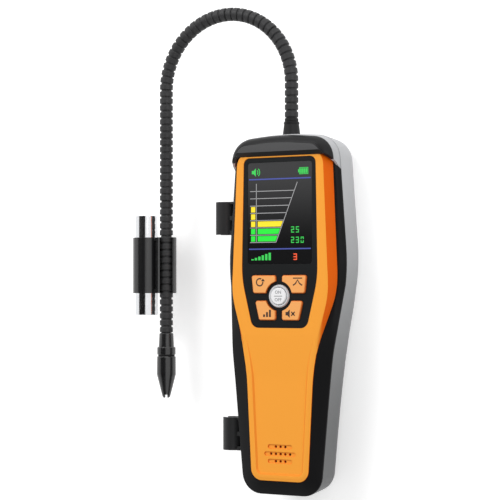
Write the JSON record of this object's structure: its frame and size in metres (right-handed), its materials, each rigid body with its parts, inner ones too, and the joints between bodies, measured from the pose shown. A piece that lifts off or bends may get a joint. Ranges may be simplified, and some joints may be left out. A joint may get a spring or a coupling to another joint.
{
  "type": "refrigerant leak detector",
  "caption": "Handheld leak detector with a moulded housing, colour display, keypad and speaker grille, and a bendable gooseneck probe with a pointed nozzle and a clip-on tube.",
  "frame": {"origin": "on the flat back, half-way up the housing and on its middle line", "axes": "X to the right seen from the front, Y up towards the gooseneck, Z out of the screen; it lies on its back"},
  "size_m": [0.1426, 0.279, 0.039],
  "materials": {
    "orange_plastic": "satin moulded plastic",
    "black_plastic": "fine matte moulding",
    "inner_black": "plain inner moulding",
    "grey_plastic": "satin moulded plastic",
    "window_black": "smooth dark sheet",
    "display_glass": "display behind dark glass",
    "key_orange": "soft moulded key",
    "white_plastic": "white key cap",
    "silver_trim": "silver lacquer",
    "neck_black": "semi-matte rings",
    "nozzle_black": "turned black plastic",
    "rubber_black": "moulded rubber",
    "chrome_tube": "polished tube",
    "steel": "plain steel",
    "cell_aluminium": "milled block",
    "lamp_brass": "plain brass can",
    "board_green": "circuit board",
    "battery_wrap": "shrink wrap",
    "hose_pale": "soft hose",
    "mesh_black": "dust cloth",
    "filter_white": "filter felt"
  },
  "bodies": {
    "housing": {"rear_cover": "grey_plastic", "bumper": "black_plastic", "front_cover": "orange_plastic", "top_cap": "black_plastic", "display_window": "window_black", "display_module": "display_glass", "main_board": "board_green", "key_switches": "steel", "power_bezel": "silver_trim", "speaker_mesh": "mesh_black", "speaker": "inner_black", "battery_tray": "inner_black", "battery_cell": "battery_wrap", "charge_board": "board_green", "charge_socket": "steel", "air_pump": "inner_black", "pump_motor": "steel", "infrared_cell": "cell_aluminium", "infrared_lamp": "lamp_brass", "infrared_detector": "steel", "sample_hose": "hose_pale", "pump_hose": "hose_pale", "case_screws": "steel", "board_screws": "steel", "upper_clip": "black_plastic", "lower_clip": "black_plastic", "gland_boot": "rubber_black", "neck_base": "neck_black"},
    "reset_key_body": {"reset_key": "key_orange"},
    "peak_key_body": {"peak_key": "key_orange"},
    "sens_key_body": {"sens_key": "key_orange"},
    "mute_key_body": {"mute_key": "key_orange"},
    "power_key_body": {"power_key": "white_plastic"},
    "neck_1": {"neck_link_1": "neck_black"},
    "neck_2": {"neck_link_2": "neck_black"},
    "neck_3": {"neck_link_3": "neck_black"},
    "neck_4": {"neck_link_4": "neck_black"},
    "neck_5": {"neck_link_5": "neck_black"},
    "neck_6": {"neck_link_6": "neck_black"},
    "probe": {"neck_link_7": "neck_black", "probe_ferrule": "nozzle_black", "nozzle_seal": "rubber_black", "nozzle": "nozzle_black", "nozzle_filter": "filter_white", "tube_holder": "black_plastic", "holder_tube": "chrome_tube"}
  },
  "joints": [
    {"name": "reset_press", "type": "slide", "parent": "housing", "child": "reset_key_body", "axis": [0, 0, -1], "range_m": [0, 0.0008], "stiffness_N_per_m": 600},
    {"name": "peak_press", "type": "slide", "parent": "housing", "child": "peak_key_body", "axis": [0, 0, -1], "range_m": [0, 0.0008], "stiffness_N_per_m": 600},
    {"name": "sens_press", "type": "slide", "parent": "housing", "child": "sens_key_body", "axis": [0, 0, -1], "range_m": [0, 0.0008], "stiffness_N_per_m": 600},
    {"name": "mute_press", "type": "slide", "parent": "housing", "child": "mute_key_body", "axis": [0, 0, -1], "range_m": [0, 0.0008], "stiffness_N_per_m": 600},
    {"name": "power_press", "type": "slide", "parent": "housing", "child": "power_key_body", "axis": [0, 0, -1], "range_m": [0, 0.0008], "stiffness_N_per_m": 600},
    {"name": "neck_bend_1", "type": "hinge", "parent": "housing", "child": "neck_1", "pos_m": [0, 0.13135, 0.021], "axis": [0, 0, -1], "range_deg": [-1.5, 12]},
    {"name": "neck_tilt_2", "type": "hinge", "parent": "neck_1", "child": "neck_2", "pos_m": [-0.01223, 0.16089, 0.021], "axis": [0.7071, 0.7071, 0], "range_deg": [-12, 12]},
    {"name": "neck_bend_3", "type": "hinge", "parent": "neck_2", "child": "neck_3", "pos_m": [-0.04176, 0.17312, 0.021], "axis": [0, 0, -1], "range_deg": [-1.5, 12]},
    {"name": "neck_tilt_4", "type": "hinge", "parent": "neck_3", "child": "neck_4", "pos_m": [-0.07129, 0.16089, 0.021], "axis": [-0.7071, 0.7071, 0], "range_deg": [-12, 12]},
    {"name": "neck_bend_5", "type": "hinge", "parent": "neck_4", "child": "neck_5", "pos_m": [-0.08353, 0.13135, 0.021], "axis": [0, 0, -1], "range_deg": [-1.5, 12]},
    {"name": "neck_tilt_6", "type": "hinge", "parent": "neck_5", "child": "neck_6", "pos_m": [-0.08353, 0.09855, 0.021], "axis": [-1, 0, 0], "range_deg": [-12, 12]},
    {"name": "neck_bend_7", "type": "hinge", "parent": "neck_6", "child": "probe", "pos_m": [-0.08353, 0.06575, 0.021], "axis": [0, 0, -1], "range_deg": [-1.5, 12]}
  ]
}
